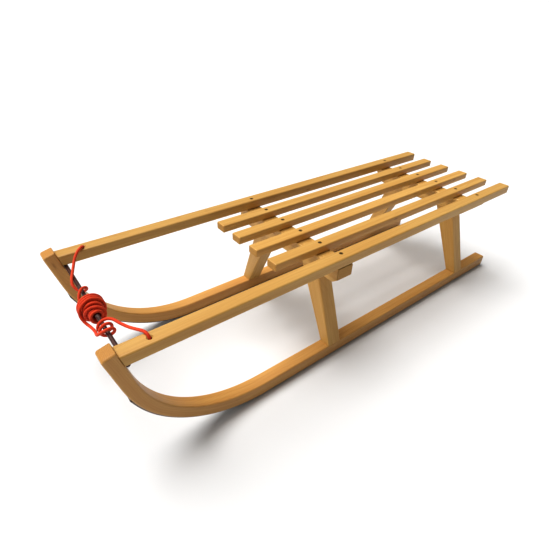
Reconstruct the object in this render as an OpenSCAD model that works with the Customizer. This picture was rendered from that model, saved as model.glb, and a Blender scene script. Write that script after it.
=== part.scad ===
// Wooden runner sled (toboggan) with bent ash runners, a slatted deck and a pull cord.
// +X points forward, to the curled tips, +Y to the rider's left and +Z up.
// The origin is on the ground, below the middle of the sled. Sizes are in millimetres.

/* [Runners] */
// Distance between the centre lines of the two runners
gauge = 306; // [260:1:380]
// Width of a runner
runner_w = 28.4; // [22:0.1:36]
// Height of a runner along its straight base
runner_h = 29; // [22:0.5:38]
// Thickness of a runner in its bent front
toe_t = 22.5; // [16:0.5:28]
// Length of the straight base, from the rear end to the start of the bend
base_len = 817; // [700:1:980]
// Radius of the lower part of the bend, on the ground side
bend_low_r = 286; // [240:1:320]
// Angle at which the lower bend passes into the upper bend
bend_mid_deg = 44; // [36:1:50]
// Radius of the upper part of the bend, on the ground side
bend_high_r = 229; // [190:1:260]
// Angle of the straight tip, measured from the ground
toe_deg = 76; // [68:1:82]
// How far the rear edges of the tips stand above the side rails
tip_rise = 9.5; // [7:0.5:12]

/* [Steel shoes] */
// Thickness of the steel strip
shoe_t = 2.5; // [1.5:0.5:4]
// Width of the steel strip
shoe_w = 22; // [14:1:26]
// Height at which the front end of the strip stops
shoe_top_z = 164; // [120:1:180]

/* [Trestles] */
// Distance between the front and the rear trestle
trestle_spacing = 490; // [400:1:560]
// Distance from the rear end of the runners to the middle of the rear trestle
rear_setback = 143; // [120:1:180]
// Height from the ground to the top of the cross beams
beam_top_z = 237; // [210:1:270]
// Width of a cross beam, along the sled
beam_w = 40; // [34:1:50]
// Depth of a cross beam
beam_h = 37; // [32:1:46]
// Height of the front beam's ends, above its sloping underside
front_end_h = 26; // [18:1:30]
// Run of the slope under the ends of the front beam
front_slope_run = 14; // [8:1:30]
// How far the ends of the rear beam stay inside the side rails' outer faces
rear_end_inset = 3; // [1:1:8]
// Height of the rear beam's ends, above its sloping underside
rear_end_h = 3; // [2:1:8]
// Run of the slope under the ends of the rear beam
rear_slope_run = 34; // [28:1:38]
// Thickness of a leg, along the sled
leg_t = 36; // [28:1:38]
// Width of a leg at its top
leg_top_w = 50; // [36:1:56]
// How far the top of a leg stands inside its foot
leg_splay = 70; // [40:1:80]
// Wood left under the tenon in a runner
tenon_floor = 15; // [10:1:20]
// Wood left between a tenon in a cross beam and the points of the slat screws
tenon_clear = 5.4; // [2:0.2:8]
// Width of the tenons, along the sled
tenon_l = 22; // [16:1:28]
// Width of the tenons, across the sled
tenon_w = 14; // [10:1:18]

/* [Deck] */
// Number of slats between the side rails
slat_count = 4; // [4]
// Distance between the middles of neighbouring slats
slat_pitch = 60.5; // [56:0.5:66]
// Width of a slat
slat_w = 27.5; // [22:0.5:34]
// Thickness of a slat
slat_t = 17; // [12:0.5:24]
// Length of a slat
slat_len = 748; // [680:1:800]
// Width of a side rail
rail_w = 28.4; // [22:0.1:34]
// Thickness of a side rail
rail_t = 21.5; // [18:0.5:26]
// How far slats and side rails reach behind the middle of the rear beam
deck_overhang = 134; // [100:1:141]

/* [Screws] */
// Diameter of the deck screws' shanks
screw_d = 4; // [3:0.5:5]
// Diameter of the deck screws' heads
screw_head_d = 8; // [6:0.5:10]
// How far a slat screw goes into the beam
slat_screw_bite = 17.6; // [12:0.2:20]
// How far a side rail screw goes into the beam
rail_screw_bite = 14.1; // [8:0.1:14.1]
// How far a side rail screw sits inside the middle of its rail
rail_screw_in = 3; // [0:0.5:5]
// Depth of the screw heads below the wood
head_sink = 0.6; // [0.2:0.2:2]
// Number of screws in each steel shoe
shoe_screw_count = 5; // [3:1:8]
// Length of a shoe screw
shoe_screw_len = 16; // [12:1:20]
// How far the long screws under the runners go up into the legs
leg_screw_bite = 24; // [16:1:28]

/* [Tow bar and cord] */
// Diameter of the steel tow bar
bar_d = 7; // [5:0.5:8]
// Diameter of the pull cord
cord_d = 5; // [4:0.5:6]
// Distance from the front of a side rail to its cord hole, along the sled
cord_hole_x = 44; // [36:1:60]
// Diameter of the cord holes
cord_hole_d = 6.5; // [6:0.5:8]
// Diameter of the pocket for the stopper knot, under the rail
knot_pocket_d = 15; // [14:0.5:18]
// Depth of the pocket for the stopper knot
knot_pocket_h = 12.5; // [10:0.5:14]

/* [Hidden] */
$fn = 48;

// Clearance round screws and dowels, and round tenons and the tow bar
gap = 0.1;
joint_gap = 0.2;
// How far a cut reaches past the face it opens
cut = 1;
edge_r = 5;
arc_step = 3;
cord_sides = 8;
leg_screw_d = 5;
leg_screw_head_d = 10;
leg_screw_sink = 0.3;
shoe_screw_d = 3.5;
shoe_screw_head_d = 7;
shoe_screw_sink = 0.2;
shoe_end_margin = 24;
shoe_rear_inset = 1;
dowel_d = 8;
dowel_len = 30;
bar_end_inset = 5;
bar_screw_d = 3;
bar_screw_head_d = 5.5;
bar_screw_head_h = 2;
bar_screw_bite = 9;
bar_screw_in = 8.5;
coil_bore_r = 7.5;
coil_r = 23;
coil_near_r = 12.5;
coil_rear_y = -11;
coil_full_y = 9;
coil_front_y = 33;
coil_flat_r = 18;
knot_h = 11;
knot_d = 13.5;
knot_end_d = 9.5;

// The bend starts at bend_x, and the whole sled is centred on the origin along X.
wood_z = shoe_t;
rail_top_z = beam_top_z + rail_t;
tip_z = rail_top_z + tip_rise;
low_end = [bend_low_r * sin(bend_mid_deg), wood_z + bend_low_r * (1 - cos(bend_mid_deg))];
high_end = low_end + bend_high_r
    * [sin(toe_deg) - sin(bend_mid_deg), cos(bend_mid_deg) - cos(toe_deg)];
tip_corner_z = tip_z - toe_t * cos(toe_deg);
toe_run = (tip_corner_z - high_end[1]) / tan(toe_deg);
sled_len = base_len + high_end[0] + toe_run + edge_r * (1 - sin(toe_deg) - cos(toe_deg));
bend_x = base_len - sled_len / 2;
rear_x = -sled_len / 2;

rear_trestle_x = rear_x + rear_setback;
front_trestle_x = rear_trestle_x + trestle_spacing;
deck_rear_x = rear_trestle_x - deck_overhang;
half_w = gauge / 2 + rail_w / 2;

// The straight front and back faces of the tips, as X at a height z
function toe_front_x(z) = bend_x + high_end[0] + (z - high_end[1]) / tan(toe_deg);
function toe_back_x(z) = toe_front_x(z) - toe_t / sin(toe_deg);
rail_front_x = toe_back_x(beam_top_z);

bar_z = beam_top_z - bar_d / 2 - joint_gap;
bar_x = toe_back_x(bar_z) - (bar_d / 2 + joint_gap) / sin(toe_deg);
hole_x = rail_front_x - cord_hole_x;
coil_z = bar_z - coil_bore_r + bar_d / 2 + gap;

// Points of an arc from angle a0 to a1, measured from straight down, anticlockwise
function arc(centre, r, a0, a1) =
    let (n = ceil(abs(a1 - a0) / arc_step))
    [for (i = [0 : n]) let (a = a0 + (a1 - a0) * i / n) centre + r * [sin(a), -cos(a)]];

// Centres of the lower bend, the upper bend and the tip's rounded front corner
low_centre = [bend_x, wood_z + bend_low_r];
high_centre = [bend_x, 0] + low_end + bend_high_r * [-sin(bend_mid_deg), cos(bend_mid_deg)];
corner_centre = [toe_front_x(tip_corner_z), tip_corner_z]
    - edge_r * [sin(toe_deg) + cos(toe_deg), sin(toe_deg) - cos(toe_deg)];

// The ground side of a runner, moved outward by d, from the start of the bend to the straight tip
function ground_curve(d) = concat(
    arc(low_centre, bend_low_r + d, 0, bend_mid_deg),
    arc(high_centre, bend_high_r + d, bend_mid_deg + arc_step, toe_deg)
);

// The upper side: the base tapers from runner_h to toe_t by the end of the lower bend
function upper_curve() =
    let (n = ceil(bend_mid_deg / arc_step))
    concat(
        [for (i = [0 : n]) let (
            u = i / n,
            a = bend_mid_deg * u,
            t = runner_h + (toe_t - runner_h) * u * u * (3 - 2 * u)
        ) low_centre + (bend_low_r - t) * [sin(a), -cos(a)]],
        arc(high_centre, bend_high_r - toe_t, bend_mid_deg + arc_step, toe_deg)
    );

function reversed(list) = [for (i = [len(list) - 1 : -1 : 0]) list[i]];

// Side view of a runner, in X and Z
module runner_side() {
    polygon(concat(
        [[rear_x, wood_z]],
        ground_curve(0),
        arc(corner_centre, edge_r, toe_deg, toe_deg + 90),
        [[toe_back_x(tip_z), tip_z]],
        reversed(upper_curve()),
        [[rear_x, wood_z + runner_h]]
    ));
}

// Extrudes an X-Z outline across the sled, with its middle at y
module across(y, w) {
    translate([0, y + w / 2, 0]) rotate([90, 0, 0]) linear_extrude(w) children();
}

// A countersunk screw whose head face is at the origin, with its point downward
module screw(d, head_d, len) {
    cylinder(h = len, d = d);
    cylinder(h = (head_d - d) / 2, d1 = head_d, d2 = d);
}

module screw_down(d, head_d, len) {
    rotate([180, 0, 0]) screw(d, head_d, len);
}

// The screw's room in the wood: its own shape with a small clearance, open above the head
module screw_hole_down(d, head_d, len, open) {
    screw_down(d + 2 * gap, head_d + 2 * gap, len + gap);
    translate([0, 0, -gap]) cylinder(h = open + gap, d = head_d + 2 * gap);
}

leg_foot_z = wood_z + runner_h;
leg_head_z = beam_top_z - beam_h;
leg_top_y = gauge / 2 - leg_splay;
foot_tenon_h = runner_h - tenon_floor;
head_tenon_h = beam_h - slat_screw_bite - tenon_clear;
function slat_y(i) = (slat_count - 1) / 2 * slat_pitch - (i - 1) * slat_pitch;
function trestle_x(front) = front ? front_trestle_x : rear_trestle_x;
// The legs stand flush with the rear face of their beam.
function leg_x(front) = trestle_x(front) - (beam_w - leg_t) / 2;
shoe_screw_step = (base_len - 2 * shoe_end_margin) / (shoe_screw_count - 1);
function shoe_screw_x(i) = rear_x + shoe_end_margin + i * shoe_screw_step;
slat_screw_z = beam_top_z + slat_t - head_sink;
slat_screw_len = slat_screw_z - beam_top_z + slat_screw_bite;
rail_screw_z = rail_top_z - head_sink;
rail_screw_len = rail_screw_z - beam_top_z + rail_screw_bite;
leg_screw_len = runner_h + leg_screw_bite;
function rail_screw_y(side) = side * (gauge / 2 - rail_screw_in);
function bar_screw_y(side) = side * (gauge / 2 - bar_screw_in);

// A tenon that reaches equally far above and below the origin
module tenon(h, extra) {
    cube([tenon_l + 2 * extra, tenon_w + 2 * extra, 2 * (h + extra)], center = true);
}

// The room for the long screw that goes up through a runner into a leg
module leg_screw_hole(front, side) {
    translate([leg_x(front), side * gauge / 2, wood_z + leg_screw_sink]) rotate([180, 0, 0])
        screw_hole_down(leg_screw_d, leg_screw_head_d, leg_screw_len - leg_screw_sink, cut);
}

module runner(side) {
    color("burlywood") difference() {
        across(side * gauge / 2, runner_w) runner_side();
        for (front = [true, false]) {
            translate([leg_x(front), side * gauge / 2, leg_foot_z]) tenon(foot_tenon_h, joint_gap);
            leg_screw_hole(front, side);
        }
        for (i = [0 : shoe_screw_count - 1])
            translate([shoe_screw_x(i), side * gauge / 2, wood_z - gap])
                cylinder(h = shoe_screw_len - shoe_t + 2 * gap, d = shoe_screw_d + 2 * gap);
        toe_dowel(side, gap);
    }
}

// Side view of a steel shoe, wrapped round the ground side of a runner
module shoe_side() {
    intersection() {
        polygon(concat(
            [[rear_x + shoe_rear_inset, 0]], ground_curve(shoe_t),
            reversed(ground_curve(0)), [[rear_x + shoe_rear_inset, wood_z]]
        ));
        translate([rear_x, -cut]) square([sled_len, shoe_top_z + cut]);
    }
}

module shoe(side) {
    color("dimgray") difference() {
        across(side * gauge / 2, shoe_w) shoe_side();
        for (i = [0 : shoe_screw_count - 1])
            translate([shoe_screw_x(i), side * gauge / 2, shoe_screw_sink]) rotate([180, 0, 0])
                screw_hole_down(shoe_screw_d, shoe_screw_head_d, shoe_screw_len, cut);
    }
}

module shoe_screws() {
    color("silver") for (side = [-1, 1], i = [0 : shoe_screw_count - 1])
        translate([shoe_screw_x(i), side * gauge / 2, shoe_screw_sink])
            screw(shoe_screw_d, shoe_screw_head_d, shoe_screw_len - 2 * shoe_screw_sink);
}

// A leg: wide at the top, as wide as the runner at its foot, and splayed outward
module leg(front, side) {
    color("wheat") difference() {
        union() {
            translate([leg_x(front) + leg_t / 2, 0, 0]) rotate([90, 0, -90]) linear_extrude(leg_t) polygon([
                [-side * (gauge / 2 - runner_w / 2), leg_foot_z],
                [-side * (gauge / 2 + runner_w / 2), leg_foot_z],
                [-side * (leg_top_y + leg_top_w / 2), leg_head_z],
                [-side * (leg_top_y - leg_top_w / 2), leg_head_z]
            ]);
            translate([leg_x(front), side * gauge / 2, leg_foot_z]) tenon(foot_tenon_h, 0);
            translate([leg_x(front), side * leg_top_y, leg_head_z]) tenon(head_tenon_h, 0);
        }
        leg_screw_hole(front, side);
    }
}

// One long screw goes up through the runner into each leg.
module leg_screws() {
    color("silver") for (front = [true, false], side = [-1, 1])
        translate([leg_x(front), side * gauge / 2, wood_z + leg_screw_sink])
            screw(leg_screw_d, leg_screw_head_d, leg_screw_len - 2 * leg_screw_sink);
}

// A cross beam, seen from the front: sloping undersides at its ends
module beam(front) {
    inset = front ? 0 : rear_end_inset;
    end_h = front ? front_end_h : rear_end_h;
    run = front ? front_slope_run : rear_slope_run;
    end_y = half_w - inset;
    color("burlywood") difference() {
        translate([trestle_x(front) + beam_w / 2, 0, beam_top_z]) rotate([90, 0, -90])
            linear_extrude(beam_w) polygon([
                [-end_y, 0], [-end_y, -end_h], [run - end_y, -beam_h],
                [end_y - run, -beam_h], [end_y, -end_h], [end_y, 0]
            ]);
        for (side = [-1, 1]) {
            translate([leg_x(front), side * leg_top_y, leg_head_z]) tenon(head_tenon_h, joint_gap);
            translate([trestle_x(front), rail_screw_y(side), rail_screw_z])
                screw_hole_down(screw_d, screw_head_d, rail_screw_len, 0);
        }
        for (i = [1 : slat_count])
            translate([trestle_x(front), slat_y(i), slat_screw_z])
                screw_hole_down(screw_d, screw_head_d, slat_screw_len, 0);
    }
}

// Side view of a side rail: its front end leans with the tip that it butts against
module rail_outline() {
    polygon([
        [deck_rear_x, beam_top_z], [toe_back_x(beam_top_z), beam_top_z],
        [toe_back_x(rail_top_z), rail_top_z], [deck_rear_x, rail_top_z]
    ]);
}

module side_rail(side) {
    color("burlywood") difference() {
        across(side * gauge / 2, rail_w) rail_outline();
        for (front = [true, false])
            translate([trestle_x(front), rail_screw_y(side), rail_screw_z])
                screw_hole_down(screw_d, screw_head_d, rail_screw_len, cut);
        translate([hole_x, side * gauge / 2, beam_top_z - cut]) {
            cylinder(h = rail_t + 2 * cut, d = cord_hole_d);
            cylinder(h = knot_pocket_h + cut, d = knot_pocket_d);
        }
        translate([bar_x, bar_screw_y(side), beam_top_z - cut])
            cylinder(h = bar_screw_bite + gap + cut, d = bar_screw_d + 2 * gap);
        toe_dowel(side, gap);
    }
}

module slat(i) {
    color("burlywood") difference() {
        translate([deck_rear_x, slat_y(i) - slat_w / 2, beam_top_z]) cube([slat_len, slat_w, slat_t]);
        for (front = [true, false])
            translate([trestle_x(front), slat_y(i), slat_screw_z])
                screw_hole_down(screw_d, screw_head_d, slat_screw_len, cut);
    }
}

module slat_screws(front) {
    color("darkgoldenrod") for (i = [1 : slat_count])
        translate([trestle_x(front), slat_y(i), slat_screw_z])
            screw_down(screw_d, screw_head_d, slat_screw_len);
}

module rail_screws() {
    color("darkgoldenrod") for (front = [true, false], side = [-1, 1])
        translate([trestle_x(front), rail_screw_y(side), rail_screw_z])
            screw_down(screw_d, screw_head_d, rail_screw_len);
}

// A dowel across the joint between a tip and its rail, square to the joint's face
module toe_dowel(side, extra) {
    mid_z = beam_top_z + rail_t / 2;
    translate([toe_back_x(mid_z), side * gauge / 2, mid_z]) rotate([0, toe_deg, 0])
        cylinder(h = dowel_len + 2 * extra, d = dowel_d + 2 * extra, center = true);
}

module toe_dowels() {
    color("wheat") for (side = [-1, 1]) toe_dowel(side, 0);
}

// The tow bar lies in the corner under the rails and behind the tips.
module tow_bar() {
    len = 2 * (half_w - bar_end_inset);
    color("dimgray") difference() {
        translate([bar_x, len / 2, bar_z]) rotate([90, 0, 0]) cylinder(h = len, d = bar_d);
        for (side = [-1, 1])
            translate([bar_x, bar_screw_y(side), bar_z - bar_d])
                cylinder(h = 2 * bar_d, d = bar_screw_d + 2 * gap);
    }
}

// These screws hold the bar from below. They stand beside the toe dowels.
module tow_bar_screws() {
    head_z = bar_z - bar_d / 2 - bar_screw_head_h;
    color("silver") for (side = [-1, 1])
        translate([bar_x, bar_screw_y(side), head_z]) {
            cylinder(h = beam_top_z + bar_screw_bite - head_z, d = bar_screw_d);
            cylinder(h = bar_screw_head_h, d = bar_screw_head_d);
        }
}

// The cord's route where it isn't wound up, from under the rail to the coil. The points are
// written for cord holes at route_hole_x, and they move along with the holes.
route_hole_x = 475.65;
right_route = [
    [476, -153, 248], [476, -153, 257], [477, -150, 262], [482, -145, 265], [490, -139, 265],
    [499, -129, 260], [507, -114, 250], [514, -99, 242], [520, -86, 238], [522, -75, 232],
    [518, -66, 226], [511, -59, 226], [507, -52, 232], [509, -46, 239], [515, -41, 242],
    [521, -36, 238], [524, -29, 231], [525, -20, 227], [525, -11, 226]
];
left_route = [
    [526, 9, 247], [533, 10, 240], [536, 11, 231], [535, 13, 221], [530, 18, 214],
    [527, 33, 215], [524, 50, 217], [522, 62, 221], [523, 71, 228], [522, 78, 236],
    [517, 84, 241], [510, 86, 239], [506, 85, 232], [508, 79, 225], [515, 73, 223],
    [522, 69, 227], [524, 66, 235], [519, 63, 242], [511, 62, 244], [503, 67, 243],
    [498, 80, 242], [493, 95, 244], [487, 111, 250], [482, 126, 258], [479, 138, 264],
    [477, 145, 265], [476, 150, 262], [476, 153, 257], [476, 153, 248]
];

function unit(v) = v / norm(v);
function heading(p, i) = unit(p[min(i + 1, len(p) - 1)] - p[max(i - 1, 0)]);
function levelled(v, t) = unit(v - (v * t) * t);

// The side vector of each ring, carried along the route without twist
start_side = [0.31, 0.52, 0.79];
function ring_sides(p) = [
    for (i = 0, s = levelled(start_side, heading(p, 0)); i < len(p);
        i = i + 1, s = i < len(p) ? levelled(s, heading(p, i)) : s) s
];

// A cord: a tube with cord_sides sides swept along a route
module cord_tube(p, d) {
    sides = ring_sides(p);
    m = cord_sides;
    points = [for (i = [0 : len(p) - 1]) let (u = sides[i], v = cross(heading(p, i), u))
        for (k = [0 : m - 1]) let (a = 360 / m * k) p[i] + d / 2 * (cos(a) * u + sin(a) * v)];
    walls = [for (i = [0 : len(p) - 2], k = [0 : m - 1])
        [(i + 1) * m + k, (i + 1) * m + (k + 1) % m, i * m + (k + 1) % m, i * m + k]];
    first_cap = [for (k = [0 : m - 1]) k];
    last_cap = [for (k = [m - 1 : -1 : 0]) (len(p) - 1) * m + k];
    polyhedron(points, concat([first_cap], walls, [last_cap]));
}

module cord_run(side) {
    color("orangered") translate([hole_x - route_hole_x, 0, 0])
        cord_tube(side > 0 ? left_route : right_route, cord_d);
}

// The outer shape of the cord that is wound round the tow bar and hangs on it
module cord_coil() {
    color("orangered") translate([bar_x, 0, coil_z]) rotate([-90, 0, 0]) rotate_extrude() polygon([
        [coil_bore_r, coil_rear_y], [coil_flat_r, coil_rear_y], [coil_r, coil_rear_y + cord_d],
        [coil_r, coil_full_y], [coil_near_r, coil_front_y], [coil_bore_r, coil_front_y]
    ]);
}

// The stopper knot hangs on the end of the cord, in the pocket under a rail
module cord_knot(side) {
    top_z = right_route[0][2];
    color("orangered") translate([hole_x, side * gauge / 2, top_z - knot_h]) {
        cylinder(h = knot_h / 2, d1 = knot_end_d, d2 = knot_d);
        translate([0, 0, knot_h / 2]) cylinder(h = knot_h / 2, d1 = knot_d, d2 = knot_end_d);
    }
}

runner(1);  // runner_left
runner(-1);  // runner_right
shoe(1);  // shoe_left
shoe(-1);  // shoe_right
shoe_screws();
leg(true, 1);  // leg_front_left
leg(true, -1);  // leg_front_right
leg(false, 1);  // leg_rear_left
leg(false, -1);  // leg_rear_right
leg_screws();
beam(true);  // cross_beam_front
beam(false);  // cross_beam_rear
side_rail(1);  // side_rail_left
side_rail(-1);  // side_rail_right
slat(1);  // slat_1
slat(2);  // slat_2
slat(3);  // slat_3
slat(4);  // slat_4
slat_screws(true);  // slat_screws_front
slat_screws(false);  // slat_screws_rear
rail_screws();
toe_dowels();
tow_bar();
tow_bar_screws();
cord_run(1);  // cord_run_left
cord_run(-1);  // cord_run_right
cord_coil();
cord_knot(1);  // cord_knot_left
cord_knot(-1);  // cord_knot_right
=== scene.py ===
import math

import bmesh
import bpy
import numpy as np
from mathutils import Matrix, Vector


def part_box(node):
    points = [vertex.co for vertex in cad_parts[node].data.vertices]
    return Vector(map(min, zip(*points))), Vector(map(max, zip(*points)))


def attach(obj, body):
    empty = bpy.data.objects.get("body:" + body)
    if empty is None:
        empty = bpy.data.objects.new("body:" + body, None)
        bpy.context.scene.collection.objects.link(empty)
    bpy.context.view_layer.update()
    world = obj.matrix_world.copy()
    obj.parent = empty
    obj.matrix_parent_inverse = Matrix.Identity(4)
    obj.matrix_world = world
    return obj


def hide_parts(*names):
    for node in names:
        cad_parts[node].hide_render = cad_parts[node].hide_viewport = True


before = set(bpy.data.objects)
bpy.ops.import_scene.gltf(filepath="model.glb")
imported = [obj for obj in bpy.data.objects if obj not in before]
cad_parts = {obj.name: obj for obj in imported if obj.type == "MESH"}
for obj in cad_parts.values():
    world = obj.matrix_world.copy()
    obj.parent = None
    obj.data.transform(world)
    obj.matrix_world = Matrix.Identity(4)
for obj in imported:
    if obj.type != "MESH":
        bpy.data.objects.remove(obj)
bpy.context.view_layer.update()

SCENE = bpy.context.scene
RNG = np.random.default_rng(7)


# ---------------------------------------------------------------- camera
CAM_TURN, CAM_TILT, CAM_ROLL = 141.0055, 35.0650, 2.2005
CAM_PLACE = (0.60296, 0.58955, 0.66992)
CAM_LENS, CAM_SENSOR = 26.59, 36


def make_camera():
    """The viewpoint: from the front left, looking down at 35 degrees."""
    a, e, r = (math.radians(x) for x in (CAM_TURN, CAM_TILT, CAM_ROLL))
    right = Vector((math.cos(a), math.sin(a), 0))
    back = Vector((math.sin(a) * math.cos(e), -math.cos(a) * math.cos(e), math.sin(e)))
    up = back.cross(right)
    x = math.cos(r) * right + math.sin(r) * up
    y = math.cos(r) * up - math.sin(r) * right
    data = bpy.data.cameras.new("camera")
    data.sensor_width = CAM_SENSOR
    data.lens = CAM_LENS
    data.clip_start, data.clip_end = 0.01, 100
    cam = bpy.data.objects.new("camera", data)
    SCENE.collection.objects.link(cam)
    m = Matrix((x, y, back)).transposed().to_4x4()
    m.translation = CAM_PLACE
    cam.matrix_world = m
    SCENE.camera = cam


make_camera()


# ---------------------------------------------------------------- node helpers
class Nodes:
    """Short calls for building one material."""

    def __init__(self, name):
        self.m = bpy.data.materials.new(name)
        self.m.use_nodes = True
        self.t = self.m.node_tree
        self.t.nodes.clear()
        self.out = self.t.nodes.new("ShaderNodeOutputMaterial")
        self.bsdf = self.t.nodes.new("ShaderNodeBsdfPrincipled")
        self.link(self.bsdf.outputs[0], self.out.inputs[0])

    def link(self, a, b):
        self.t.links.new(a, b)

    def put(self, socket, value):
        if isinstance(value, bpy.types.NodeSocket):
            self.link(value, socket)
        else:
            socket.default_value = value

    def attr(self, name, out="Vector"):
        n = self.t.nodes.new("ShaderNodeAttribute")
        n.attribute_name = name
        return n.outputs[out]

    def scaled(self, vector, by, plus=(0, 0, 0)):
        n = self.t.nodes.new("ShaderNodeVectorMath")
        n.operation = "MULTIPLY_ADD"
        self.put(n.inputs[0], vector)
        n.inputs[1].default_value = by
        self.put(n.inputs[2], plus)
        return n.outputs[0]

    def noise(self, vector, detail, rough):
        n = self.t.nodes.new("ShaderNodeTexNoise")
        self.put(n.inputs["Vector"], vector)
        n.inputs["Scale"].default_value = 1
        n.inputs["Detail"].default_value = detail
        n.inputs["Roughness"].default_value = rough
        return n.outputs[0]

    def voronoi(self, vector):
        n = self.t.nodes.new("ShaderNodeTexVoronoi")
        self.put(n.inputs["Vector"], vector)
        n.inputs["Scale"].default_value = 1
        return n.outputs["Distance"]

    def math(self, op, a, b=0.0, c=0.0):
        n = self.t.nodes.new("ShaderNodeMath")
        n.operation = op
        self.put(n.inputs[0], a)
        self.put(n.inputs[1], b)
        if op == "MULTIPLY_ADD":
            self.put(n.inputs[2], c)
        return n.outputs[0]

    def range(self, value, a, b, c=0.0, d=1.0):
        n = self.t.nodes.new("ShaderNodeMapRange")
        self.put(n.inputs["Value"], value)
        for key, x in (("From Min", a), ("From Max", b), ("To Min", c), ("To Max", d)):
            self.put(n.inputs[key], x)
        return n.outputs[0]

    def xyz(self, vector):
        n = self.t.nodes.new("ShaderNodeSeparateXYZ")
        self.put(n.inputs[0], vector)
        return n.outputs

    def vec(self, x, y, z):
        n = self.t.nodes.new("ShaderNodeCombineXYZ")
        for socket, value in zip(n.inputs, (x, y, z)):
            self.put(socket, value)
        return n.outputs[0]

    def mix(self, factor, a, b, blend="MIX"):
        n = self.t.nodes.new("ShaderNodeMix")
        n.data_type = "RGBA"
        n.blend_type = blend
        self.put(n.inputs[0], factor)
        self.put(n.inputs[6], a)
        self.put(n.inputs[7], b)
        return n.outputs[2]

    def bump(self, height, strength, distance):
        n = self.t.nodes.new("ShaderNodeBump")
        n.inputs["Strength"].default_value = strength
        n.inputs["Distance"].default_value = distance
        self.put(n.inputs["Height"], height)
        self.link(n.outputs[0], self.bsdf.inputs["Normal"])

    def set(self, **values):
        for key, value in values.items():
            self.put(self.bsdf.inputs[key.replace("_", " ")], value)


def srgb(r, g, b):
    """A colour given as 0 to 255 in sRGB, in linear light."""
    shares = (r / 255, g / 255, b / 255)
    return (*(c / 12.92 if c <= 0.04045 else ((c + 0.055) / 1.055) ** 2.4 for c in shares), 1.0)


# ---------------------------------------------------------------- materials
def wood_material(name, light, mid, dark, ring):
    """Varnished hardwood, with its growth rings a distance ring apart. Attribute grain holds metres
    along, across and through the piece, seed where the piece was sawn from its log, tone its shade,
    and ends the end grain."""
    n = Nodes(name)
    g = n.attr("grain")
    seed = n.attr("seed")
    tone = n.attr("tone", "Fac")
    ends = n.attr("ends", "Fac")
    u, v, w = n.xyz(g)
    sv, sw, su = n.xyz(seed)
    shifted = n.scaled(g, (1, 1, 1), seed)
    # growth rings round the log's heart, which lies off to one side of the piece
    warp = n.noise(n.scaled(shifted, (5.5, 26, 26)), 2, 0.5)
    dv, dw = n.math("ADD", v, sv), n.math("ADD", w, sw)
    r = n.math("SQRT", n.math("ADD", n.math("MULTIPLY", dv, dv), n.math("MULTIPLY", dw, dw)))
    r = n.math("MULTIPLY_ADD", warp, 0.020, r)
    wide = n.noise(n.vec(n.math("MULTIPLY", r, 90), 0.0, su), 1, 0.5)
    phase = n.math("FRACT", n.math("ADD", n.math("DIVIDE", r, ring), n.math("MULTIPLY", wide, 1.6)))
    late = n.math("POWER", phase, 3.2)
    # long fibres, fine pores and a slow drift of shade
    fibre = n.noise(n.scaled(shifted, (9, 420, 420)), 4, 0.62)
    streak = n.noise(n.scaled(shifted, (3.2, 95, 95)), 3, 0.55)
    drift = n.noise(n.scaled(shifted, (2.3, 9, 9)), 2, 0.5)
    pore_shape = n.voronoi(n.scaled(shifted, (210, 1900, 1900)))
    pores = n.range(pore_shape, 0.16, 0.30, 1.0, 0.0)
    pores = n.math("MULTIPLY", pores, n.range(late, 0.0, 0.6, 1.0, 0.35))
    colour = n.mix(n.range(streak, 0.30, 0.74), light, mid)
    colour = n.mix(n.math("MULTIPLY", late, 0.20), colour, dark)
    colour = n.mix(n.range(fibre, 0.40, 0.75, 0.0, 0.15), colour, dark)
    colour = n.mix(n.math("MULTIPLY", pores, 0.24), colour, dark)
    colour = n.mix(n.range(drift, 0.40, 0.75, 0.0, 0.40), colour, mid)
    # a few small knots
    knots = n.range(n.voronoi(n.scaled(shifted, (7, 26, 26))), 0.03, 0.075, 1.0, 0.0)
    colour = n.mix(n.math("MULTIPLY", knots, 0.65), colour, dark)
    # the cut ends soak up more varnish
    cut_fibre = n.noise(n.scaled(shifted, (300, 700, 700)), 3, 0.6)
    cut = n.mix(1.0, mid, (0.92, 0.92, 0.74, 1), "MULTIPLY")
    cut = n.mix(n.math("MULTIPLY", late, 0.40), cut, dark)
    cut = n.mix(n.range(cut_fibre, 0.35, 0.75, 0.0, 0.35), cut, dark)
    colour = n.mix(ends, colour, cut)
    shade = n.range(tone, -1.0, 1.0, 0.86, 1.10)
    colour = n.mix(1.0, colour, n.vec(shade, shade, shade), "MULTIPLY")
    n.set(Base_Color=colour, Specular_IOR_Level=0.35)
    n.set(Coat_Weight=0.14, Coat_Roughness=0.26, Coat_IOR=1.5)
    n.set(Roughness=n.math("MULTIPLY_ADD", ends, 0.2, n.range(fibre, 0.3, 0.8, 0.42, 0.56)))
    relief = n.math("SUBTRACT", n.math("MULTIPLY", fibre, 0.5), n.math("MULTIPLY", pores, 0.8))
    n.bump(n.math("MULTIPLY_ADD", late, -0.3, relief), 0.35, 0.00012)
    return n.m


def steel_material(name, base, dark, rough, stain=None):
    """Brushed steel with its scratches lengthwise. stain is the colour of its rusty patches, if any."""
    n = Nodes(name)
    g = n.attr("grain")
    lines = n.noise(n.scaled(g, (16, 2600, 2600)), 3, 0.6)
    cloud = n.noise(n.scaled(g, (26, 60, 60)), 4, 0.6)
    colour = n.mix(n.range(lines, 0.3, 0.72), base, dark)
    if stain:
        colour = n.mix(n.range(cloud, 0.50, 0.74, 0.0, 0.75), colour, stain)
    wear = n.math("ADD", n.math("MULTIPLY", lines, 0.6), n.math("MULTIPLY", cloud, 0.4))
    n.set(Base_Color=colour, Metallic=1.0, Roughness=n.range(wear, 0.3, 0.7, *rough))
    n.bump(lines, 0.25, 0.00004)
    return n.m


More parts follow.
